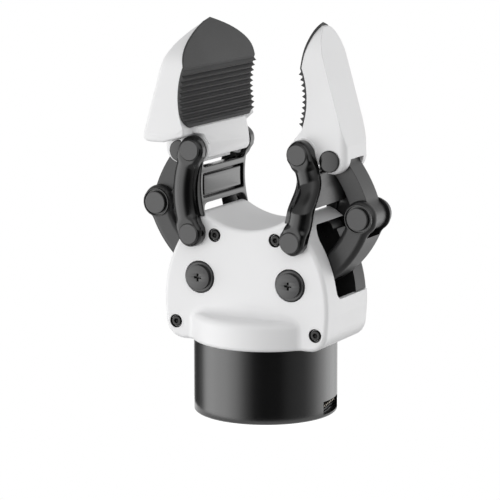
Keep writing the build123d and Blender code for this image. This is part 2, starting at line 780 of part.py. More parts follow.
def hand(half, tongue):
    """The hand-shaped upper part of a finger, with softened back edges on the wide one."""
    wide = half > tongue
    side = finger_side()
    low = HEEL_Z if wide else 0
    solid = slab(side, -half, half) & across(arch(half, TIP_Z - PAD_PROUD, low, HEEL_ROUND), 0, 80)
    if not wide:
        return solid
    (px, pz), (bx, bz) = PAD_LOW, CHEEK_LOW
    throat = make_face(Polyline((0, pz + 0.2), (px, pz + 0.2), (bx, bz), (bx, 0), (0, 0), close=True))
    solid -= slab(throat, -half - 1, half + 1)
    back = [f for f in solid.faces() if f.normal_at().X > 0.8]
    rim = ShapeList(e for f in back for e in f.edges() if on_rim(e, back))
    return fillet(rim, BACK_EDGE)


def lobe_round(solid, half):
    """Rounds the outer edges of the clevis round the coupler's pin."""
    edges = ShapeList()
    for edge in solid.edges():
        middle = edge @ 0.5
        flat = abs(abs((edge @ 0).Y) - half) < 0.01 and abs(abs(middle.Y) - half) < 0.01
        away = math.dist((middle.X, middle.Z), LOBE_C)
        if flat and away < 1.6 * LOBE_R and middle.X > LOBE_C[0] - LOBE_R:
            edges.append(edge)
    return fillet(edges, LOBE_ROUND)


def finger_shell(half, tongue, lobe):
    """White finger: the hand-shaped part, the tongue on the arm pivot and the coupler's clevis."""
    side = finger_side()
    px = FINGER_PIVOT[0]
    solid = hand(half, tongue)
    if half > tongue:
        solid -= pin(FINGER_PIVOT, ARM_END_R + SIDE_GAP, -ARM_OUTER - 1.2, ARM_OUTER + 1.2)
        solid += slab(side, -tongue, tongue) & block(0, px + BOSS_R + 1, -tongue, tongue, TONGUE_LOW, PAD_LOW[1])
        solid += lobe_round(slab(side, -lobe, lobe) & block(px, 80, -lobe, lobe, 0, PAD_LOW[1]), lobe)
    else:
        solid = lobe_round(solid, lobe)
    for y0, y1 in ((-tongue - SIDE_STEP, -tongue + BOSS_T), (tongue - BOSS_T, tongue + SIDE_STEP)):
        solid += pin(FINGER_PIVOT, BOSS_R, y0, y1)
    reach = COUPLER_EYE_R + CAVITY_CLEAR + 0.8
    cavity = disc(COUPLER_PIVOT, reach)
    mid = (COUPLER_PIVOT[0] - reach, SPINE_LOW)
    cavity += make_face(Polyline(mid, (90, SPINE_LOW), (90, 90), (mid[0], 90), close=True))
    cavity_half = COUPLER_HALF + CAVITY_CLEAR
    solid -= slab(cavity, -cavity_half, cavity_half)
    solid -= pin(COUPLER_PIVOT, FINGER_PIN_R + SEAT_FIT, -60, 60)
    solid -= pin(FINGER_PIVOT, ARM_PIN_R + RUN_FIT, -60, -tongue + PIN_GRIP + 1)
    solid -= pin(FINGER_PIVOT, ARM_PIN_R + RUN_FIT, tongue - PIN_GRIP - 1, 60)
    return solid


def finger_pin(lobe):
    """Pin of the coupler's clevis with a round head at each side."""
    shaft = pin(COUPLER_PIVOT, FINGER_PIN_R, -lobe - 0.1, lobe + 0.1)
    head = pin(COUPLER_PIVOT, FINGER_HEAD_R, -lobe - FINGER_HEAD_T, -lobe)
    head = fillet(head.edges().group_by(Axis.Y)[0], 0.6)
    return shaft + head + mirror(head, about=Plane.XZ)


def pad(half):
    """Rubber pad: a thin skin over the fingertip with ridges in its hollow."""
    centre, radius = circle_through(PAD_LOW, PAD_MID, PAD_KINK)
    skin = radius + PAD_T
    low = math.atan2(PAD_LOW[1] - centre[1], PAD_LOW[0] - centre[0])
    high = math.atan2(PAD_KINK[1] - centre[1], PAD_KINK[0] - centre[0])

    def on_arc(r, a):
        return (centre[0] + r * math.cos(a), centre[1] + r * math.sin(a))

    inner_r = radius - PAD_T
    top = (PAD_TOP[0] - 0.5, TIP_Z)
    kink_out = on_arc(inner_r, high)
    bend_out = (PAD_BEND[0] - PAD_T, PAD_BEND[1] + 0.2)
    outline = [
        ThreePointArc(PAD_LOW, PAD_MID, PAD_KINK),
        ThreePointArc(PAD_KINK, PAD_BEND, PAD_TOP),
        Line(PAD_TOP, top),
        ThreePointArc(top, bend_out, kink_out),
        ThreePointArc(kink_out, on_arc(inner_r, (low + high) / 2), on_arc(inner_r, low)),
        Line(on_arc(inner_r, low), PAD_LOW),
    ]
    shape = make_face(outline)
    step = RIDGE_PITCH / inner_r
    middle = (low + high) / 2
    for i in range(RIDGES):
        a = middle + (i - (RIDGES - 1) / 2) * step
        foot = RIDGE_W / 2 / inner_r
        tooth = Polyline(on_arc(inner_r + 0.3, a - foot), on_arc(inner_r - RIDGE_H, a),
                         on_arc(inner_r + 0.3, a + foot), close=True)
        shape += make_face(tooth)
    solid = slab(shape, -half, half)
    return solid & across(pad_outline(half, TIP_Z), 0, 80)


def build_side(prefix, half, tongue, lobe, upper_inner, flip):
    """Writes every piece of one finger."""
    upper_outer = upper_inner + ARM_T
    pieces = {
        "crank": crank(),
        "sector_gear": sector_gear(),
        "crank_axle": crank_axle(),
        "axle_caps": both_sides(axle_cap()),
        "axle_bushings": both_sides(bushing()),
        "knee_pin": knee_pin(),
        "coupler": coupler(),
        "arm_frame": arm_frame(upper_inner),
        "arm_lower_pins": both_sides(arm_pin(ARM_PIVOT, ARM_OUTER, CAVITY_HALF + 1)),
        "arm_upper_pins": both_sides(arm_pin(FINGER_PIVOT, upper_outer, tongue - PIN_GRIP)),
        "finger": finger_shell(half, tongue, lobe),
        "finger_pin": finger_pin(lobe),
        "grip_pad": pad(half),
    }
    for name, shape in pieces.items():
        if flip:
            shape = [mirrored(s) for s in shape] if isinstance(shape, list) else mirrored(shape)
        save(prefix + "_" + name, shape)


def build_body():
    """Writes every piece that stays still, and the drive between the cranks."""
    save("body_shell", body_shell())
    save("inner_frame", frame())
    save("rear_cover", rear_cover())
    screws = [cover_screw(p) for p in screw_points()]
    save("front_cover_screws", screws)
    save("rear_cover_screws", [mirror(s, about=Plane.XZ) for s in screws])
    save("base_housing", base_housing())
    save("mounting_flange", mounting_flange())
    save("connector_block", connector_block())
    save("connector_pins", connector_pins())
    save("control_board", tube(BASE_R - BASE_WALL - SEAT_FIT, BOARD_Z, BOARD_Z + BOARD_T))
    save("motor", motor())
    save("lead_screw", lead_screw())
    save("drive_nut", drive_nut())
    rods = [tube(ROD_R, FRAME_FLOOR - 2, BRIDGE_HIGH, y=y) for y in (-ROD_Y, ROD_Y)]
    save("guide_rods", rods)


os.makedirs("parts", exist_ok=True)
build_body()
build_side("left", WIDE_HALF, WIDE_TONGUE, WIDE_LOBE, ARM_INNER, True)
build_side("right", NARROW_HALF, NARROW_HALF, NARROW_HALF, NARROW_INNER, False)
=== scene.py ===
"""Looks of the adaptive gripper: finishes, finely modelled visible pieces, floor, studio light and camera."""
import itertools
import json
import math

import bmesh
import bpy
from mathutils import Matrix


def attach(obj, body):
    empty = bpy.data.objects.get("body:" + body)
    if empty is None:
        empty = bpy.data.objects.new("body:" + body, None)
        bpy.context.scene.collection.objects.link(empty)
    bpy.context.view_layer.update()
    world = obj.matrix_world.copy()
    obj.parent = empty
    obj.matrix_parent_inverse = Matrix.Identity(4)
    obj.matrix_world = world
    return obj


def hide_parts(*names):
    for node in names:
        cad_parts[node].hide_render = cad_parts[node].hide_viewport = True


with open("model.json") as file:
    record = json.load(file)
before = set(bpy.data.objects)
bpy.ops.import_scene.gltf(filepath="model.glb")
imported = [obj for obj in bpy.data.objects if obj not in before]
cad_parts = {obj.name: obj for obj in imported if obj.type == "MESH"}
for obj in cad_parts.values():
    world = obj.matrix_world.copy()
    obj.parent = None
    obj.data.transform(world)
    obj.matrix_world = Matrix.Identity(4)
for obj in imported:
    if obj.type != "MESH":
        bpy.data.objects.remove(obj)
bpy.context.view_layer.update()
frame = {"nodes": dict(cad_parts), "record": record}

MM = 0.001
SIDES = ("left", "right")

# Camera, fitted to the photograph: metres, angles and pixels of its square frame
FRAME_PX = 500
FOCAL_PX = 2485.3
OFFSET_PX = (15.76, -35.98)
SENSOR_MM = 36.0
CAMERA_TURN = math.radians(27.40)
CAMERA_RISE = math.radians(9.587)
CAMERA_DISTANCE = 1.15012
CAMERA_TARGET = (0.0, 0.0, 0.092)
CAMERA_CLIP = (0.05, 50.0)

# Studio light: brightness by direction, in degrees from the front towards +X, near the horizon and higher up
SKY = [
    (-180, 1.0), (-165, 1.0), (-141, 1.0), (-131, 0.12), (-112, 0.10), (-96, 0.4), (-82, 2.4),
    (-68, 3.05), (-40, 3.05), (-22, 2.15), (-5, 0.65), (8, 0.10), (22, 0.02), (50, 0.04), (64, 0.22),
    (92, 0.40), (108, 0.9), (125, 1.9), (145, 2.5), (165, 1.9), (180, 1.0),
]
SKY_HIGH = [
    (-180, 0.7), (-90, 0.4), (-45, 0.8), (0, 1.0), (40, 1.5), (75, 0.8), (110, 0.4), (145, 1.2), (180, 0.7),
]
SKY_TOP = 0.25
SKY_LOW = 0.45

# Heights, as the sine of the angle above the horizon, over which one brightness gives way to the next
HIGH_BAND = (0.04, 0.20)
TOP_BAND = (0.82, 0.97)
LOW_BAND = (-0.35, -0.60)

# Floor: a round table top, in metres
FLOOR_R = 0.042
FLOOR_EDGE = 0.0015
FLOOR_DEPTH = 0.004
FLOOR_STEPS = 128
FLOOR_EDGE_STEPS = 4
FLOOR_SPECKS = 60.0
FLOOR_TONES = [(0.3, 0.79), (0.7, 0.81)]
FLOOR_GLOW = 0.75

# Finishes: colour, roughness and grain of each material slot
PATCH_SCALE = 45.0
BUMP_DEPTH = 0.00002
FINISH = {
    "white_plastic": dict(
        colour=(0.82, 0.82, 0.825), rough=0.45, grain=2600.0, spread=0.008, edge=0.0003, bump=0.08),
    "black_gloss": dict(
        colour=(0.0030, 0.0030, 0.0031), rough=0.15, grain=260.0, spread=0.15, edge=0.0004, bump=0.02,
        ior=1.52, rough_spread=0.015),
    "black_plastic": dict(
        colour=(0.008, 0.008, 0.0083), rough=0.38, grain=2200.0, spread=0.12, edge=0.0004, bump=0.06,
        ior=1.58),
    "dark_cap": dict(
        colour=(0.014, 0.014, 0.0143), rough=0.34, grain=2400.0, spread=0.08, edge=0.00015, bump=0.06,
        ior=1.62),
    "pad_rubber": dict(
        colour=(0.034, 0.034, 0.0345), rough=0.62, grain=1600.0, spread=0.10, edge=0.0001, bump=0.2),
    "black_metal": dict(
        colour=(0.004, 0.004, 0.0042), rough=0.20, grain=300.0, spread=0.1, bump=0.02,
        ior=1.66, rough_spread=0.015, streak=(0.2, 0.2, 6.0)),
    "dark_frame": dict(colour=(0.010, 0.010, 0.0105), rough=0.5, grain=2200.0, spread=0.1),
    "screw_black": dict(colour=(0.004, 0.004, 0.004), rough=0.42, grain=1800.0, spread=0.2, edge=0.00015),
    "steel": dict(colour=(0.56, 0.56, 0.57), rough=0.28, grain=700.0, metal=1.0, streak=(6.0, 6.0, 0.4)),
    "bronze": dict(colour=(0.52, 0.38, 0.20), rough=0.35, grain=900.0, metal=1.0, streak=(1.0, 6.0, 1.0)),
    "aluminium": dict(colour=(0.68, 0.68, 0.69), rough=0.32, grain=600.0, metal=1.0, streak=(8.0, 0.6, 1.0)),
    "gold_contact": dict(colour=(0.30, 0.27, 0.22), rough=0.3, grain=1200.0, metal=1.0),
    "board_green": dict(colour=(0.02, 0.13, 0.05), rough=0.4, grain=400.0, spread=0.3),
    "motor_steel": dict(
        colour=(0.42, 0.42, 0.43), rough=0.36, grain=700.0, metal=1.0, streak=(6.0, 6.0, 0.3)),
}

# From here on sizes are millimetres. What both sides have is given for the right one, at +X
BODY_FACE = 21.2

# Arm bars: pivots, section and the height over which the narrow arm's bars jog inwards
ARM_LOW = (26.0, 84.75)
ARM_MID = (30.1, 104.2)
ARM_HIGH = (25.3, 123.5)
BAR_OUTER = 27.1
BAR_INNER = 21.7
BAR_THICK = 5.4
BAR_HALF = 5.8
BAR_END_R = 6.2
UPPER_INNER = {"left": BAR_INNER, "right": 13.2}
JOG = (97.5, 111.5)

# Where a bar's round end narrows to its sides, and where its face turns from flat to round
NECK_FROM = 3.5
NECK_OVER = 4.5
NECK_SOFT = 0.5
ROUND_END = 2.3
ROUND_MID = 5.2
ROUND_FROM = 4.6
ROUND_OVER = 3.6
END_STEPS = 12
MIDDLE_STEPS = 60
ACROSS_STEPS = 24

# Cross-piece between the bars: flanges and rails, the plate and backing set in them, and the web behind
GRIP_SIDE_POINTS = ((20.4, 121.3), (22.3, 106.0), (20.6, 93.7))
INTO_BAR = 0.15
INSERT_DEEP = 5.2
INSERT_STEP = {"left": 0.0, "right": 0.4}
FLANGE_Z = (92.6, 119.4)
FLANGE_THICK = 1.5
FLANGE_STEPS = 24
NOTCH_Z = (98.2, 114.8)
NOTCH_R = (4.5, 2.2)
HOLE_Z = (100.7, 112.0)
HOLE_MARGIN = 0.6
HOLE_R = 0.8
GROOVE = 1.1
GROOVE_WIDE = 2.2
GROOVE_MID = 1.32
PLATE_R = 0.5
WEB_Z = (98.2, 113.6)
WEB_OUT = 30.4
WEB_THICK = 3.4
WEB_STEPS = 12

# Pins and caps of the linkages
AXLE_AT = (23.3, 64.0)
CAP_R = 7.3
CAP_DISC_R = 5.8
CAP_SHAFT_R = 2.0
CAP_SHAFT_LENGTH = 6.0
CROSS_LONG = 1.8
CROSS_HALF = 0.45
KNEE_AT = (52.2, 95.2)
KNEE_FACE = 9.9
KNEE_R = 6.7
KNEE_DISC_R = 5.3
KNEE_SHAFT_R = 3.0
CLEVIS_AT = (38.6, 120.7)
CLEVIS_HALF = {"left": 12.4, "right": 12.2}
CLEVIS_R = 5.0
CLEVIS_SHAFT_R = 2.2

# Cover screws and the rings that line their pockets
SCREWS_AT = ((-15.6, 84.1), (15.6, 84.1), (-36.0, 42.0), (36.0, 42.0))
SCREW_TOP_R = 2.2
SCREW_HEX_R = 1.25
SCREW_SHAFT_R = 1.5
SCREW_SHAFT_LENGTH = 7.0
SEAT_R = 3.15
SEAT_OUTER_R = 4.0

# Wide finger: its tongue, and its heel and cheeks as (x, z) corners with a radius each
TONGUE_HALF = 20.6
TONGUE_Z = (119.6, 134.3)
TONGUE_BACK = 25.0
TONGUE_RIM = 0.5
TONGUE_CORNER = 4.5
TONGUE_GRIP = ((18.9, 119.6), (19.6, 127.0), (21.3, 134.3))
HEEL_Y = (-34.55, -20.2)
HEEL_RIM = 1.0
HEEL = [((35.0, 127.4), 2.4), ((46.05, 127.4), 3.2), ((43.9, 134.8), 1.3)]
CHEEK = [((24.2, 134.7), 1.2), ((24.2, 130.7), 1.8)]
CHEEK_REAR = [((33.8, 134.8), 1.3)]

# Box that is cut from the wide finger's CAD form to make room for the tongue, on the left, where it stands
TONGUE_CUT = ((-24.0, -19.2, 110.0), (-5.0, 25.0, 134.1))

# Steps of turned forms, and the height of the slices that let a prism bend
TURN_STEPS = 72
SLICE = 1.5


def add_camera():
    """Camera at the photograph's angle, with its framing as lens shift."""
    data = bpy.data.cameras.new("camera")
    data.sensor_width = SENSOR_MM
    data.lens = FOCAL_PX * SENSOR_MM / FRAME_PX
    data.shift_x = -OFFSET_PX[0] / FRAME_PX
    data.shift_y = OFFSET_PX[1] / FRAME_PX
    data.clip_start, data.clip_end = CAMERA_CLIP
    camera = bpy.data.objects.new("camera", data)
    flat = math.cos(CAMERA_RISE)
    away = (math.sin(CAMERA_TURN) * flat, -math.cos(CAMERA_TURN) * flat, math.sin(CAMERA_RISE))
    camera.location = [t + CAMERA_DISTANCE * a for t, a in zip(CAMERA_TARGET, away)]
    camera.rotation_euler = (math.pi / 2 - CAMERA_RISE, 0, CAMERA_TURN)
    bpy.context.scene.collection.objects.link(camera)
    bpy.context.scene.camera = camera


def grey(value):
    return (value, value, value, 1)


class Nodes:
    """Adds shader nodes to a tree and joins them."""

    def __init__(self, tree):
        self.tree = tree
        tree.nodes.clear()

    def add(self, kind, inputs=None, **props):
        """Adds a node, whose inputs are plain values or outputs of other nodes."""
        node = self.tree.nodes.new(kind)
        for key, value in props.items():
            setattr(node, key, value)
        for key, value in (inputs or {}).items():
            if isinstance(value, bpy.types.NodeSocket):
                self.tree.links.new(value, node.inputs[key])
            else:
                node.inputs[key].default_value = value
        return node

    def calc(self, operation, a, b):
        return self.add("ShaderNodeMath", {0: a, 1: b}, operation=operation).outputs[0]

    def noise(self, place, scale, detail, rough=0.5):
        inputs = {"Vector": place, "Scale": scale, "Detail": detail, "Roughness": rough}
        return self.add("ShaderNodeTexNoise", inputs).outputs[0]

    def ramp(self, factor, stops):
        """Colour ramp through stops, each a position with a brightness or a colour."""
        node = self.add("ShaderNodeValToRGB", {"Fac": factor})
        elements = node.color_ramp.elements
        elements.remove(elements[-1])
        for i, (at, colour) in enumerate(stops):
            element = elements.new(at) if i else elements[0]
            element.position = at
            element.color = (*colour, 1) if isinstance(colour, tuple) else grey(colour)
        return node.outputs["Color"]


def new_material(name):
    material = bpy.data.materials.new(name)
    material.use_nodes = True
    return material, Nodes(material.node_tree)


def add_world():
    """Studio all round the object: brightness by direction, in bands by height."""
    world = bpy.data.worlds.new("studio")
    world.use_nodes = True
    bpy.context.scene.world = world
    nodes = Nodes(world.node_tree)
    direction = nodes.add("ShaderNodeTexCoord").outputs["Generated"]
    axes = nodes.add("ShaderNodeSeparateXYZ", {0: direction}).outputs
    turn = nodes.calc("ARCTAN2", axes["X"], nodes.calc("MULTIPLY", axes["Y"], -1.0))
    round_share = nodes.calc("ADD", nodes.calc("DIVIDE", turn, 2 * math.pi), 0.5)
    colour = nodes.ramp(round_share, [(degrees / 360 + 0.5, value) for degrees, value in SKY])
    high = nodes.ramp(round_share, [(degrees / 360 + 0.5, value) for degrees, value in SKY_HIGH])
    for (start, end), other in ((HIGH_BAND, high), (TOP_BAND, grey(SKY_TOP)), (LOW_BAND, grey(SKY_LOW))):
        height = {0: axes["Z"], 1: start, 2: end}
        share = nodes.add("ShaderNodeMapRange", height, interpolation_type="SMOOTHSTEP").outputs[0]
        colour = nodes.add("ShaderNodeMix", {0: share, 6: colour, 7: other}, data_type="RGBA").outputs[2]
    back = nodes.add("ShaderNodeBackground", {"Color": colour, "Strength": 1.0})
    nodes.add("ShaderNodeOutputWorld", {"Surface": back.outputs[0]})


def ring_points(radius, count):
    angles = [2 * math.pi * i / count for i in range(count)]
    return [(radius * math.cos(a), radius * math.sin(a)) for a in angles]


def skin(rings, count, closed=False):
    """Faces between rings of points that follow one another. Closed joins the last ring to the first."""
    faces = []
    for k in range(rings if closed else rings - 1):
        m = (k + 1) % rings
        for i in range(count):
            j = (i + 1) % count
            faces.append((k * count + i, k * count + j, m * count + j, m * count + i))
    return faces


def floor_mesh():
    """Table top with a rounded edge, ring by ring from the foot of the edge to the middle."""
    rings = [(FLOOR_R, -FLOOR_DEPTH)]
    for i in range(FLOOR_EDGE_STEPS + 1):
        angle = math.pi / 2 * i / FLOOR_EDGE_STEPS
        rings.append((FLOOR_R - FLOOR_EDGE * (1 - math.cos(angle)), FLOOR_EDGE * (math.sin(angle) - 1)))
    rings.append((FLOOR_R / 2, 0.0))
    verts = [(x, y, z) for radius, z in rings for x, y in ring_points(radius, FLOOR_STEPS)]
    faces = skin(len(rings), FLOOR_STEPS)
    middle = len(verts)
    first = middle - FLOOR_STEPS
    faces += [(first + i, first + (i + 1) % FLOOR_STEPS, middle) for i in range(FLOOR_STEPS)]
    mesh = bpy.data.meshes.new("floor")
    mesh.from_pydata(verts + [(0, 0, 0)], [], faces)
    mesh.shade_smooth()
    return mesh


def floor_paint():
    """Pale matt paint that looks white to the camera and in reflections and still shows the shadow."""
    material, nodes = new_material("floor_paint")
    place = nodes.add("ShaderNodeTexCoord").outputs["Object"]
    specks = nodes.noise(place, FLOOR_SPECKS, 3.0)
    diffuse = nodes.add("ShaderNodeBsdfDiffuse", {"Color": nodes.ramp(specks, FLOOR_TONES)})
    ray = nodes.add("ShaderNodeLightPath").outputs
    seen = nodes.calc("MAXIMUM", ray["Is Camera Ray"], ray["Is Glossy Ray"])
    seen = nodes.calc("MAXIMUM", seen, ray["Is Transmission Ray"])
    strength = nodes.calc("MULTIPLY", seen, FLOOR_GLOW)
    glow = nodes.add("ShaderNodeEmission", {"Color": grey(1), "Strength": strength})
    both = nodes.add("ShaderNodeAddShader", {0: diffuse.outputs[0], 1: glow.outputs[0]})
    nodes.add("ShaderNodeOutputMaterial", {"Surface": both.outputs[0]})
    return material


def add_floor():
    mesh = floor_mesh()
    mesh.materials.append(floor_paint())
    floor = bpy.data.objects.new("floor", mesh)
    bpy.context.scene.collection.objects.link(floor)


def finish_material(name, colour, rough, grain=1500.0, spread=0.06, metal=0.0, streak=None, edge=0.0002,
                    ior=1.5, rough_spread=0.03, bump=0.15):
    """Surface finish: slow changes of colour, softened edges, and grain or brush marks in gloss and bump."""
    material, nodes = new_material(name)
    place = nodes.add("ShaderNodeTexCoord").outputs["Object"]
    patches = nodes.noise(place, PATCH_SCALE, 2.0)
    low = tuple(c * (1 - spread) for c in colour)
    high = tuple(c * (1 + spread) for c in colour)
    base = nodes.ramp(patches, [(0.35, low), (0.65, high)])
    if streak:
        place = nodes.add("ShaderNodeMapping", {"Vector": place, "Scale": streak}).outputs[0]
    fine = nodes.noise(place, grain, 4.0, 0.6)
    gloss = {0: fine, 1: 0.3, 2: 0.7, 3: rough - rough_spread, 4: rough + rough_spread}
    roughness = nodes.add("ShaderNodeMapRange", gloss).outputs[0]
    soft = nodes.add("ShaderNodeBevel", {"Radius": edge}, samples=4).outputs[0]
    relief = {"Height": fine, "Strength": bump, "Distance": BUMP_DEPTH, "Normal": soft}
    shader = nodes.add("ShaderNodeBsdfPrincipled", {
        "Base Color": base,
        "Roughness": roughness,
        "Metallic": metal,
        "IOR": ior,
        "Normal": nodes.add("ShaderNodeBump", relief).outputs[0],
    })
    nodes.add("ShaderNodeOutputMaterial", {"Surface": shader.outputs[0]})


def finish_of(slot):
    return bpy.data.materials["finish_" + slot]


def dress_nodes():
    """Makes the finishes and gives every CAD node the one of its slot."""
    for name, values in FINISH.items():
        finish_material("finish_" + name, **values)
    for row in frame["record"]["subparts"]:
        for slot in frame["nodes"][row["node"]].material_slots:
            slot.material = finish_of(row["material_slot"])


def mesh_piece(name, shape, body, slot, finish=None, mirror_x=False, mirror_y=False, sharp=35.0):
    """Makes a piece from a shape's points and faces, mirrored where asked, and lets it ride on its body.

    Edges that turn by more than sharp degrees stay crisp. The finish is the slot's where none is named.
    """
    verts, faces = shape
    x_scale = -MM if mirror_x else MM
    y_scale = -MM if mirror_y else MM
    mesh = bpy.data.meshes.new(name)
    mesh.from_pydata([(x_scale * x, y_scale * y, MM * z) for x, y, z in verts], [], faces)
    work = bmesh.new()
    work.from_mesh(mesh)
    bmesh.ops.remove_doubles(work, verts=work.verts, dist=1e-6)
    bmesh.ops.dissolve_degenerate(work, edges=work.edges, dist=1e-7)
    bmesh.ops.recalc_face_normals(work, faces=work.faces)
    work.to_mesh(mesh)
    work.free()
    mesh.shade_smooth()
    mesh.set_sharp_from_angle(angle=math.radians(sharp))
    mesh.materials.append(finish_of(finish or slot))
    piece = bpy.data.objects.new(name, mesh)
    bpy.context.scene.collection.objects.link(piece)
    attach(piece, body)
    return piece


def mix(a, b, share):
    return a + (b - a) * share


def ease(a, b, share):
    """From a to b with a soft start and end, and no further."""
    t = max(0.0, min(1.0, share))
    return mix(a, b, t * t * (3 - 2 * t))


def spaced(span, steps):
    return [mix(*span, i / steps) for i in range(steps + 1)]


def circle_through(a, b, c):
    """Centre and radius of the circle through three points of a plane."""
    d = 2 * (a[0] * (b[1] - c[1]) + b[0] * (c[1] - a[1]) + c[0] * (a[1] - b[1]))
    sa, sb, sc = (p[0] ** 2 + p[1] ** 2 for p in (a, b, c))
    x = (sa * (b[1] - c[1]) + sb * (c[1] - a[1]) + sc * (a[1] - b[1])) / d
    z = (sa * (c[0] - b[0]) + sb * (a[0] - c[0]) + sc * (b[0] - a[0])) / d
    return (x, z), math.dist((x, z), a)


def rounded(corners, steps=6):
    """Closed outline with rounded corners, from pairs of a point and its radius."""
    outline = []
    for i, (p, radius) in enumerate(corners):
        if radius == 0:
            outline.append(p)
            continue
        before, after = corners[i - 1][0], corners[(i + 1) % len(corners)][0]
        to_before = [(before[k] - p[k]) / math.dist(before, p) for k in (0, 1)]
        to_after = [(after[k] - p[k]) / math.dist(after, p) for k in (0, 1)]
        cosine = to_before[0] * to_after[0] + to_before[1] * to_after[1]
        reach = radius / math.tan(math.acos(cosine) / 2)
        start = [p[k] + to_before[k] * reach for k in (0, 1)]
        end = [p[k] + to_after[k] * reach for k in (0, 1)]
        for t in spaced((0, 1), steps):
            outline.append(tuple(mix(mix(start[k], p[k], t), mix(p[k], end[k], t), t) for k in (0, 1)))
    return outline


def outline_curve(loops, depth, rim):
    """Flat filled curve of the given depth with rounded rims, whose later loops are holes."""
    curve = bpy.data.curves.new("outline", "CURVE")
    curve.dimensions = "2D"
    curve.fill_mode = "BOTH"
    curve.extrude = depth / 2 - rim
    curve.bevel_depth = rim
    curve.bevel_resolution = 2
    curve.offset = -rim
    for loop in loops:
        spline = curve.splines.new("POLY")
        spline.points.add(len(loop) - 1)
        for point, (u, v) in zip(spline.points, loop):
            point.co = (u, v, 0, 1)
        spline.use_cyclic_u = True
    return curve


def cut_in_slices(work):
    """Cuts faces at even heights, so that a flat form can be bent."""
    heights = [v.co.y for v in work.verts]
    height = min(heights) + SLICE
    while height < max(heights):
        geometry = work.verts[:] + work.edges[:] + work.faces[:]
        bmesh.ops.bisect_plane(work, geom=geometry, plane_co=(0, height, 0), plane_no=(0, 1, 0))
        height += SLICE


def prism(loops, start, end, rim):
    """Shape between two planes with rounded rims, as points (distance, u, v) from loops of (u, v) points."""
    curve = outline_curve(loops, end - start, rim)
    solid = bpy.data.objects.new("outline", curve)
    mesh = bpy.data.meshes.new_from_object(solid)
    work = bmesh.new()
    work.from_mesh(mesh)
    bmesh.ops.remove_doubles(work, verts=work.verts, dist=1e-4)
    cut_in_slices(work)
    middle = (start + end) / 2
    verts = [(middle + v.co.z, v.co.x, v.co.y) for v in work.verts]
    faces = [[v.index for v in face.verts] for face in work.faces]
    work.free()
    bpy.data.objects.remove(solid)
    bpy.data.curves.remove(curve)
    bpy.data.meshes.remove(mesh)
    return verts, faces


def turned(profile, centre):
    """Shape turned from (radius, y) points about the line along Y through a point (x, z)."""
    x, z = centre
    verts = [(x + u, y, z + v) for radius, y in profile for u, v in ring_points(radius, TURN_STEPS)]
    return verts, skin(len(profile), TURN_STEPS, closed=profile[0][0] > 0)


def recessed_disc(radius, recess, centre, y_out, y_in, rim):
    """Flat disc that faces the front, with a recess of the given outline cut through it."""
    verts, faces = prism([ring_points(radius, TURN_STEPS), recess], y_out, y_in, rim)
    return [(centre[0] + u, y, centre[1] + v) for y, u, v in verts], faces


def joined(*shapes):
    verts = []
    faces = []
    for more_verts, more_faces in shapes:
        faces += [[k + len(verts) for k in face] for face in more_faces]
        verts += more_verts
    return verts, faces


def axle_cap():
    """Cap of a crank axle: a flat ring and a raised disc with a cross recess, on a short shaft."""
    y = -BODY_FACE
    base = turned([
        (0, y - 0.6), (CAP_R - 0.5, y - 0.6), (CAP_R - 0.1, y - 0.35), (CAP_R, y + 0.1), (CAP_R, y + 1.9),
        (CAP_SHAFT_R, y + 1.9), (CAP_SHAFT_R, y + 1.9 + CAP_SHAFT_LENGTH), (0, y + 1.9 + CAP_SHAFT_LENGTH),
    ], AXLE_AT)
    far, near = CROSS_LONG, CROSS_HALF
    cross = [
        (near, near), (far, near), (far, -near), (near, -near), (near, -far), (-near, -far),
        (-near, -near), (-far, -near), (-far, near), (-near, near), (-near, far), (near, far),
    ]
    return joined(base, recessed_disc(CAP_DISC_R, cross, AXLE_AT, y - 2.1, y - 0.5, 0.12))


def headed_pin(head, centre):
    """Pin with the same head on both ends, from the front head's (radius, y) points."""
    return turned(head + [(radius, -y) for radius, y in reversed(head)], centre)


def knee_pin():
    """Pin of the knee: on each end a raised disc in a thin ring."""
    y = -KNEE_FACE
    # The second point keeps the disc flat where smooth shading rounds its edge
    disc = [
        (0, y - 2.2), (KNEE_DISC_R - 0.6, y - 2.2), (KNEE_DISC_R - 0.35, y - 2.2),
        (KNEE_DISC_R - 0.1, y - 2.1), (KNEE_DISC_R, y - 1.85), (KNEE_DISC_R, y - 0.4),
    ]
    ring = [
        (KNEE_R - 0.6, y - 0.4), (KNEE_R - 0.6, y - 1.15), (KNEE_R - 0.45, y - 1.3), (KNEE_R - 0.15, y - 1.3),
        (KNEE_R, y - 1.15), (KNEE_R, y), (KNEE_SHAFT_R, y),
    ]
    return headed_pin(disc + ring, KNEE_AT)


def clevis_pin(half):
    """Pin of the coupler's clevis with a low round head on each end."""
    head = [
        (0, -half - 0.9), (CLEVIS_R - 0.7, -half - 0.9), (CLEVIS_R - 0.35, -half - 0.85),
        (CLEVIS_R, -half - 0.5), (CLEVIS_R, -half), (CLEVIS_SHAFT_R, -half),
    ]
    return headed_pin(head, CLEVIS_AT)


def cover_screw(centre):
    """Socket screw of a cover: a flat top with a hexagon recess, and a groove and a sloping rim round it."""
    y = -BODY_FACE
    base = turned([
        (0, y + 2.9), (SCREW_HEX_R + 0.1, y + 1.4), (SCREW_TOP_R, y + 0.5), (SCREW_TOP_R + 0.4, y + 1.3),
        (SEAT_R - 0.05, y + 0.2), (SEAT_R + 0.15, y + 0.05), (SEAT_R + 0.15, y + 2.4),
        (SCREW_SHAFT_R, y + 3.2), (SCREW_SHAFT_R, y + 3.2 + SCREW_SHAFT_LENGTH),
        (0, y + 3.2 + SCREW_SHAFT_LENGTH),
    ], centre)
    hexagon = ring_points(SCREW_HEX_R, 6)
    return joined(base, recessed_disc(SCREW_TOP_R, hexagon, centre, y + 0.2, y + 1.5, 0.05))


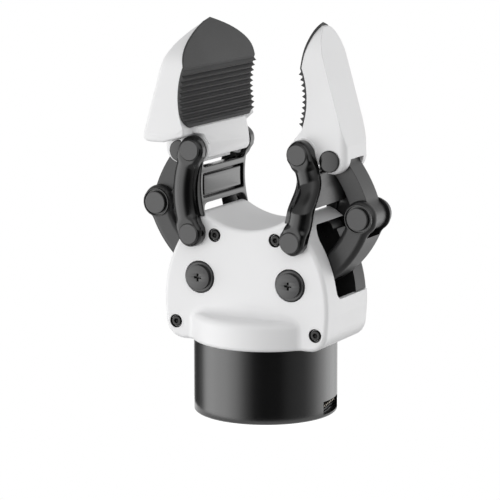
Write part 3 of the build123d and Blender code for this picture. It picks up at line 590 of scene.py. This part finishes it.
def screw_seat(centre):
    """Ring that lines a screw's pocket up to the face of the cover."""
    y = -BODY_FACE
    return turned([
        (SEAT_R, y + 1.15), (SEAT_R, y + 0.12), (SEAT_R + 0.12, y - 0.02), (SEAT_OUTER_R, y - 0.02),
        (SEAT_OUTER_R, y + 0.2), (SEAT_OUTER_R - 0.5, y + 1.15),
    ], centre)


def add_axle_caps(side):
    """Front and rear cap of an axle, in place of the CAD node that both stand for, which is hidden."""
    for place in ("front", "rear"):
        mesh_piece(f"{side}_cap_{place}", axle_cap(), f"{side}_crank_body", "dark_cap",
                                 mirror_x=side == "left", mirror_y=place == "rear", sharp=20.0)
    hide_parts(f"{side}_axle_caps")


def add_knee_pin(side):
    pin = mesh_piece(f"{side}_knee", knee_pin(), f"{side}_crank_body", "dark_cap", mirror_x=side == "left")
    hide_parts(f"{side}_knee_pin")


def add_clevis_pin(side):
    pin = mesh_piece(f"{side}_clevis_pin", clevis_pin(CLEVIS_HALF[side]), f"{side}_finger_body", "dark_cap",
                     finish="black_gloss", mirror_x=side == "left")
    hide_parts(f"{side}_finger_pin")


def add_cover_screws():
    screws = joined(*(cover_screw(centre) for centre in SCREWS_AT))
    for place in ("front", "rear"):
        node = f"{place}_cover_screws"
        piece = mesh_piece(f"{node}_seen", screws, "body", "screw_black",
                           mirror_y=place == "rear", sharp=20.0)
        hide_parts(node)


def add_screw_seats():
    seats = joined(*(screw_seat(centre) for centre in SCREWS_AT))
    mesh_piece("screw_seats", seats, "body", "white_plastic")


def cut_copy(node, corners):
    """A copy of a CAD node's shape with a box cut away, given by its lowest and highest corner."""
    whole = bpy.data.objects.new("whole", frame["nodes"][node].data.copy())
    work = bmesh.new()
    work.from_mesh(whole.data)
    bmesh.ops.remove_doubles(work, verts=work.verts, dist=2e-6)
    work.to_mesh(whole.data)
    work.free()
    block = bpy.data.meshes.new("block")
    verts = [tuple(MM * c for c in corner) for corner in itertools.product(*zip(*corners))]
    sides = [(0, 1, 3, 2), (4, 6, 7, 5), (0, 4, 5, 1), (2, 3, 7, 6), (0, 2, 6, 4), (1, 5, 7, 3)]
    block.from_pydata(verts, [], sides)
    cutter = bpy.data.objects.new("cutter", block)
    for item in (whole, cutter):
        bpy.context.scene.collection.objects.link(item)
    change = whole.modifiers.new("cut", "BOOLEAN")
    change.operation = "DIFFERENCE"
    change.solver = "EXACT"
    change.object = cutter
    cut = bpy.data.meshes.new_from_object(whole.evaluated_get(bpy.context.evaluated_depsgraph_get()))
    verts = [tuple(c / MM for c in v.co) for v in cut.vertices]
    faces = [tuple(face.vertices) for face in cut.polygons]
    for mesh in (whole.data, block, cut):
        bpy.data.meshes.remove(mesh)
    return verts, faces


def add_finger_shell():
    """The wide finger without the block of its CAD form that the tongue stands for."""
    shell = mesh_piece("left_finger_shell", cut_copy("left_finger", TONGUE_CUT), "left_finger_body",
                       "white_plastic", sharp=30.0)
    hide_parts("left_finger")


def tongue_grip(z):
    """How far from the middle of the gripper the tongue begins: a slightly bowed line."""
    (x0, z0), (x1, z1), (x2, z2) = TONGUE_GRIP
    middle = (z1 - z0) / (z2 - z0)
    bow = (x1 - mix(x0, x2, middle)) / (middle * (1 - middle))
    t = (z - z0) / (z2 - z0)
    return mix(x0, x2, t) + bow * t * (1 - t)


def add_tongue():
    """Flat tongue of the wide finger, with a round lower corner at the rear and a flare at the front."""
    low, high = TONGUE_Z
    outline = rounded([
        ((-TONGUE_HALF, low), 0.9), ((TONGUE_HALF, low), TONGUE_CORNER), ((TONGUE_HALF, high), 0),
        ((-TONGUE_HALF - 5.4, high), 0), ((-TONGUE_HALF - 5.4, high - 2.7), 1.2),
        ((-TONGUE_HALF - 1.4, high - 3.7), 2.0), ((-TONGUE_HALF, high - 6.7), 2.0),
    ], 8)
    deep = TONGUE_BACK - TONGUE_GRIP[0][0]
    verts, faces = prism([outline], 0.0, deep, TONGUE_RIM)
    verts = [(mix(tongue_grip(z), TONGUE_BACK, x / deep), y, z) for x, y, z in verts]
    mesh_piece("left_finger_tongue", (verts, faces), "left_finger_body", "white_plastic",
               mirror_x=True, sharp=40.0)


def add_heels():
    """Heel of the wide finger at the front and the rear, each with its cheek towards the tongue."""
    for place, corners in (("front", HEEL + CHEEK), ("rear", HEEL + CHEEK_REAR)):
        verts, faces = prism([rounded(corners, 8)], *HEEL_Y, HEEL_RIM)
        verts = [(u, y, v) for y, u, v in verts]
        mesh_piece(f"left_finger_heel_{place}", (verts, faces), "left_finger_body", "white_plastic",
                   mirror_x=True, mirror_y=place == "rear", sharp=40.0)


def bar_inner(z, side):
    """How far from the middle plane a bar's inner face is."""
    return ease(BAR_INNER, UPPER_INNER[side], (z - JOG[0]) / (JOG[1] - JOG[0]))


def bar_half(near, past):
    """Half a bar's width near a pivot or past it: a round end that narrows softly to the straight sides."""
    rim = math.sqrt(max(0.0, BAR_END_R ** 2 - near ** 2))
    if past:
        return rim
    if near >= BAR_END_R:
        return BAR_HALF
    wide = (rim + BAR_HALF + math.sqrt((rim - BAR_HALF) ** 2 + NECK_SOFT)) / 2
    return max(BAR_HALF, ease(wide, BAR_HALF, (near - NECK_FROM) / NECK_OVER))


def bar_drop(near, past, half, across):
    """How far a bar's face falls back towards its edge: a small rounding at the ends, a large one between."""
    inside = BAR_END_R - math.hypot(near, across)
    if not past:
        inside = max(inside, half - abs(across))
    radius = ease(ROUND_END, ROUND_MID, (near - ROUND_FROM) / ROUND_OVER)
    inside = max(0.0, min(radius, inside))
    return radius - math.sqrt(radius ** 2 - (radius - inside) ** 2)


def bar_shape(side):
    """Front bar of an arm, ring by ring along the arc through its pivots."""
    centre, radius = circle_through(ARM_LOW, ARM_MID, ARM_HIGH)
    start, end = (math.atan2(z - centre[1], x - centre[0]) for x, z in (ARM_LOW, ARM_HIGH))
    length = radius * (end - start)
    places = [-BAR_END_R * math.cos(math.pi / 2 * i / END_STEPS) for i in range(END_STEPS)]
    places += spaced((0, length), MIDDLE_STEPS)
    places += [length + BAR_END_R * math.sin(math.pi / 2 * i / END_STEPS) for i in range(1, END_STEPS + 1)]
    verts = []
    for place in places:
        angle = start + place / radius
        out = (math.cos(angle), math.sin(angle))
        near = min(abs(place), abs(place - length))
        past = not 0 <= place <= length
        half = bar_half(near, past)
        z = centre[1] + radius * out[1]
        face = BAR_INNER - BAR_OUTER - bar_inner(z, side)
        ring = []
        for i in range(ACROSS_STEPS + 1):
            across = half * math.sin(math.pi * (i / ACROSS_STEPS - 0.5))
            y = face + bar_drop(near, past, half, across)
            ring.append((centre[0] + (radius + across) * out[0], y, centre[1] + (radius + across) * out[1]))
        ring += [(corner[0], face + BAR_THICK, corner[2]) for corner in (ring[-1], ring[0])]
        verts += ring
    return verts, skin(len(places), ACROSS_STEPS + 3)


def add_arm_bars(side):
    """Front and rear bar of an arm, in place of the CAD frame that they stand for, which is hidden."""
    shape = bar_shape(side)
    for place in ("front", "rear"):
        mesh_piece(f"{side}_arm_bar_{place}", shape, f"{side}_arm", "black_gloss",
                                 mirror_x=side == "left", mirror_y=place == "rear", sharp=50.0)
    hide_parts(f"{side}_arm_frame")


def insert_half(z, side):
    """Half the cross-piece's width, which reaches a little into the bars."""
    return bar_inner(z, side) + INTO_BAR


def insert_edges(span, steps, side):
    """The two long edges of the cross-piece, as (y, z) points up the one and down the other."""
    rear = [(insert_half(z, side), z) for z in spaced(span, steps)]
    return rear, [(-y, z) for y, z in reversed(rear)]


def notch(half, mouth, floor, radius):
    """Notch between the flanges, without the corners of its mouth, so that the flanges taper."""
    corners = [((half, mouth), 0), ((half, floor), radius), ((-half, floor), radius), ((-half, mouth), 0)]
    return rounded(corners)[1:-1]


def rails_outline(side):
    """Outline of rails and flanges, with a notch above and below the rails."""
    rear, front = insert_edges(FLANGE_Z, FLANGE_STEPS, side)
    low_half, top_half = (insert_half(z, side) - FLANGE_THICK for z in FLANGE_Z)
    top = notch(top_half, FLANGE_Z[1], NOTCH_Z[1], NOTCH_R[1])
    low = notch(-low_half, FLANGE_Z[0], NOTCH_Z[0], NOTCH_R[0])
    return rear + top + front + low


def rounded_box(y_low, y_high, z_low, z_high, radius):
    corners = [(y_low, z_low), (y_high, z_low), (y_high, z_high), (y_low, z_high)]
    return rounded([(corner, radius) for corner in corners], 3)


def grip_side(z):
    """How far from the middle of the gripper the cross-piece begins: a hollow curve."""
    centre, radius = circle_through(*GRIP_SIDE_POINTS)
    return centre[0] + radius * math.cos(math.asin((z - centre[1]) / radius))


def add_insert(side):
    """Rails and flanges of the cross-piece, and the plate and backing that are set in them."""
    half = insert_half(FLANGE_Z[1], side) - FLANGE_THICK - HOLE_MARGIN
    low, high = HOLE_Z
    hole = rounded_box(-half, half, low, high, HOLE_R)
    plate = rounded_box(-half + GROOVE_WIDE, half - GROOVE_MID, low + GROOVE, high - GROOVE, PLATE_R)
    # The plate's wide groove is at the front on the right and at the rear on the left
    turn = 1 if side == "right" else -1
    for name, loops, depth, rim in (
        ("rails", [rails_outline(side), hole], 0.0, 0.35),
        ("plate", [plate], 0.25, 0.5),
        ("backing", [hole], 2.2, 0.1),
    ):
        verts, faces = prism(loops, depth, INSERT_DEEP, rim)
        verts = [(grip_side(z) + x + INSERT_STEP[side], turn * y, z) for x, y, z in verts]
        mesh_piece(f"{side}_arm_{name}", (verts, faces), f"{side}_arm", "black_gloss",
                   mirror_x=side == "left", sharp=40.0)


def add_web(side):
    """Web that closes the far side of the cross-piece."""
    rear, front = insert_edges(WEB_Z, WEB_STEPS, side)
    shape = prism([rear + front], WEB_OUT - WEB_THICK, WEB_OUT, 0.3)
    mesh_piece(f"{side}_arm_web", shape, f"{side}_arm", "black_gloss", finish="black_plastic",
               mirror_x=side == "left", sharp=40.0)


add_camera()
add_world()
add_floor()
dress_nodes()
for side in SIDES:
    add_axle_caps(side)
    add_knee_pin(side)
    add_clevis_pin(side)
add_cover_screws()
add_screw_seats()
add_finger_shell()
add_tongue()
add_heels()
for side in SIDES:
    add_arm_bars(side)
    add_insert(side)
    add_web(side)
bpy.context.scene.view_settings.view_transform = "Standard"
